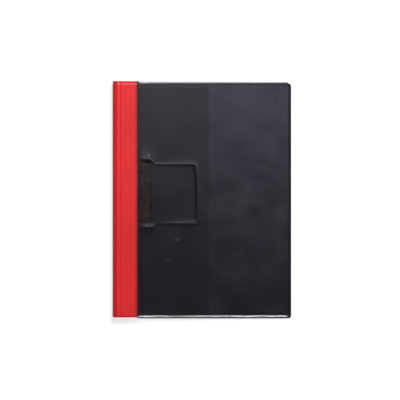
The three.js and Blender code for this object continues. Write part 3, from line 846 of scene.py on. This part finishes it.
def film_rows(low, high, pivot):
    arm_low = pivot.y + (ARM_SHIFT - ARM_Y) * MM
    arm_high = pivot.y + (ARM_SHIFT + ARM_Y) * MM
    stops = [
        low[1],
        low[1] + FILM_END,
        arm_low - ARM_OUTER,
        arm_low + ARM_INNER,
        arm_high - ARM_INNER,
        arm_high + ARM_OUTER,
        high[1] - FILM_END,
        high[1],
    ]
    spacings = [
        FILM_END_STEP,
        OPEN_STEP_Y,
        ARM_STEP,
        BETWEEN_ARMS_STEP,
        ARM_STEP,
        OPEN_STEP_Y,
        FILM_END_STEP,
    ]
    places = steps_along(stops, spacings)
    for _, y in DENTS:
        places = finer(places, y)
    return places


def dents_and_mounds(x, y, pivot):
    rise = sum(DENT_RISE * bell(math.hypot(x - x0, y - y0), DENT_SIZE) for x0, y0 in DENTS)
    for sign in (-1, 1):
        outward = sign * (y - (pivot.y + sign * OUTER_RUN_Y * MM))
        spread = MOUND_SIZE if outward > 0 else MOUND_INNER
        rise += MOUND_RISE * bell(math.hypot((x - pivot.x) / MOUND_SIZE, outward / spread), 1.0)
    return rise


def film():
    low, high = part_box("front_film")
    edge = STRIP_EDGE
    profile = node_profile("front_film")
    pivot = joint_place("bail_lift")
    arm_path = [p for p in BAIL_PATH if p.x > pivot.x + PATH_START]
    reach_x = max(p.x for p in BAIL_PATH)

    def rise(x, y, base):
        """How far the sheet is lifted off its plain height by what lies under it."""
        distance, wire_z = wire_distance(x, y, arm_path)
        rest = wire_z + BAIL_WIRE / 2 * MM + WIRE_GAP
        along = smooth((x - arm_path[0].x) / TENT_LENGTH)
        tent = (TENT_SHARE + (1 - TENT_SHARE) * along) * bell(distance, TENT_WIDTH)
        far = smooth((x - reach_x + BAR_START) / BAR_WIDTH)
        lift = max(rest + TENT_GAP - base, TENT_LEAST + TENT_MORE * far) * tent
        past_weld = smooth((x - edge - WELD_START - WELD_WIDTH) / FREE_LENGTH)
        sag = 0.0
        if x < reach_x:
            inside_loop = along * past_weld * bell(y - pivot.y, SAG_LENGTH)
            sag = SAG * inside_loop * (1 - bell(distance, SAG_FROM_WIRE))
        return (lift - sag + dents_and_mounds(x, y, pivot)) * past_weld

    def thicker(x, y_in_grid):
        """How much the sheet is thickened by the beads at its ends and the weld by the strip."""
        in_weld = x - edge - WELD_START
        if in_weld < 0:
            return 0.0
        from_end = min(y_in_grid - low[1], high[1] - y_in_grid)
        bead = BEAD_HEIGHT * (1 - smooth(from_end / BEAD_WIDTH))
        weld = WELD_HEIGHT * smooth(in_weld / WELD_FLANK) * smooth((WELD_WIDTH - in_weld) / WELD_FLANK)
        return max(bead, weld)

    columns = film_columns(low, high, edge, pivot, reach_x)
    top = []
    under = []
    for y in film_rows(low, high, pivot):
        top_row = []
        under_row = []
        for x in columns:
            place_x, place_y = round_corner(x, y, low, high)
            base = interpolate(profile, place_x)
            height = base + rise(place_x, place_y, base)
            top_row.append((place_x, place_y, height + FILM + thicker(place_x, y)))
            under_row.append((place_x, place_y, height))
        top.append(top_row)
        under.append(under_row)
    piece = closed_sheet("clear_front", top, under, CLEAR)
    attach(piece, "cover")
    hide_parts("front_film")


def round_corner(x, y, low, high):
    """Moves the points near a fore corner inwards, onto its arc."""
    dx = x - (high[0] - FILM_CORNER)
    dy = max(y - (high[1] - FILM_CORNER), (low[1] + FILM_CORNER) - y)
    if dx <= 0 or dy <= 0:
        return x, y
    shrink = max(dx, dy) / math.hypot(dx, dy)
    centre_y = high[1] - FILM_CORNER if y > 0 else low[1] + FILM_CORNER
    sign = 1.0 if y > 0 else -1.0
    return high[0] - FILM_CORNER + dx * shrink, centre_y + sign * dy * shrink


# CAD nodes that keep their solids

def dress(name, material):
    piece = frame["nodes"][name]
    piece.data.materials.clear()
    piece.data.materials.append(material)


for node, finish in (
    ("back_cover", BLACK),
    ("inner_pocket", POCKET),
    ("clip_base", BASE),
    ("clamp_plate", PLATED),
    ("clamp_rod", BRIGHT),
):
    dress(node, finish)

red_sheet()
bail()
film()
for name, side in (("lower", -1), ("upper", 1)):
    spring(name + "_spring", side)
    rivet(name + "_rivet")


# Camera, over the folder as in the photograph

def camera():
    data = bpy.data.cameras.new("camera")
    data.sensor_width = SENSOR
    data.lens = SENSOR * CAMERA_HEIGHT / (PIXELS * METRES_A_PIXEL)
    data.clip_end = CAMERA_CLIP
    piece = bpy.data.objects.new("camera", data)
    x = (PIXELS / 2 - OBJECT_CENTRE_PX[0]) * METRES_A_PIXEL
    y = (OBJECT_CENTRE_PX[1] - PIXELS / 2) * METRES_A_PIXEL
    piece.location = (x, y, CAMERA_HEIGHT + cad_box[0][2])
    bpy.context.scene.collection.objects.link(piece)
    bpy.context.scene.camera = piece


# Pale floor that the camera sees as white, with a soft shadow

def floor():
    size = FLOOR_REACH
    corners = [(-size, -size, 0), (size, -size, 0), (size, size, 0), (-size, size, 0)]
    mesh = bpy.data.meshes.new("floor")
    mesh.from_pydata(corners, [], [(0, 1, 2, 3)])
    piece = bpy.data.objects.new("floor", mesh)
    piece.location = (0, 0, -FLOOR_DROP)
    bpy.context.scene.collection.objects.link(piece)
    tree = Tree("floor")
    path = tree.add("LightPath")
    seen = path.outputs["Is Camera Ray"]
    for ray in ("Is Glossy Ray", "Is Transmission Ray"):
        either = tree.add("Math", operation="MAXIMUM")
        tree.link(seen, either.inputs[0])
        tree.link(path.outputs[ray], either.inputs[1])
        seen = either.outputs[0]
    pale = tree.add("BsdfDiffuse", Color=FLOOR_GREY)
    part = tree.add("BsdfDiffuse", Color=FLOOR_SEEN_GREY)
    glow = tree.add("Emission", Strength=FLOOR_GLOW)
    both = tree.add("AddShader")
    tree.link(part.outputs[0], both.inputs[0])
    tree.link(glow.outputs[0], both.inputs[1])
    choose = tree.add("MixShader")
    tree.link(seen, choose.inputs[0])
    tree.link(pale.outputs[0], choose.inputs[1])
    tree.link(both.outputs[0], choose.inputs[2])
    tree.link(choose.outputs[0], tree.output.inputs["Surface"])
    mesh.materials.append(tree.material)


# Sky: bright on the side of the folder's top edge, darker on the other, so that gloss fades down
# the cover

def sky():
    world = bpy.data.worlds.new("world")
    bpy.context.scene.world = world
    world.use_nodes = True
    nodes = world.node_tree.nodes
    links = world.node_tree.links
    background = nodes["Background"]
    coords = nodes.new("ShaderNodeTexCoord")
    split = nodes.new("ShaderNodeSeparateXYZ")
    links.new(coords.outputs["Generated"], split.inputs[0])
    ramp = nodes.new("ShaderNodeMapRange")
    ramp.inputs["From Min"].default_value = SKY_START
    ramp.inputs["From Max"].default_value = SKY_END
    links.new(split.outputs["Y"], ramp.inputs["Value"])
    curve = nodes.new("ShaderNodeMath")
    curve.operation = "POWER"
    curve.inputs[1].default_value = SKY_CURVE
    links.new(ramp.outputs["Result"], curve.inputs[0])
    level = nodes.new("ShaderNodeMapRange")
    level.inputs["To Min"].default_value = SKY_DARK
    level.inputs["To Max"].default_value = SKY_BRIGHT
    links.new(curve.outputs[0], level.inputs["Value"])
    leftward = nodes.new("ShaderNodeMapRange")
    leftward.inputs["From Min"].default_value = LEFT_START
    leftward.inputs["From Max"].default_value = LEFT_END
    leftward.inputs["To Min"].default_value = LEFT_SHARE
    leftward.inputs["To Max"].default_value = 1.0
    links.new(split.outputs["X"], leftward.inputs["Value"])
    strength = nodes.new("ShaderNodeMath")
    strength.operation = "MULTIPLY"
    links.new(level.outputs["Result"], strength.inputs[0])
    links.new(leftward.outputs["Result"], strength.inputs[1])
    links.new(strength.outputs[0], background.inputs["Strength"])
    background.inputs["Color"].default_value = SKY_COLOUR


def lamp():
    data = bpy.data.lights.new("key", "AREA")
    data.shape = "RECTANGLE"
    data.size, data.size_y = LAMP_SIZE
    data.energy = LAMP_WATTS
    piece = bpy.data.objects.new("key", data)
    piece.location = LAMP_PLACE
    aim = Vector(LAMP_TARGET) - Vector(LAMP_PLACE)
    piece.rotation_euler = aim.to_track_quat("-Z", "Y").to_euler()
    bpy.context.scene.collection.objects.link(piece)


camera()
floor()
sky()
lamp()

bpy.context.scene.view_settings.view_transform = "Standard"
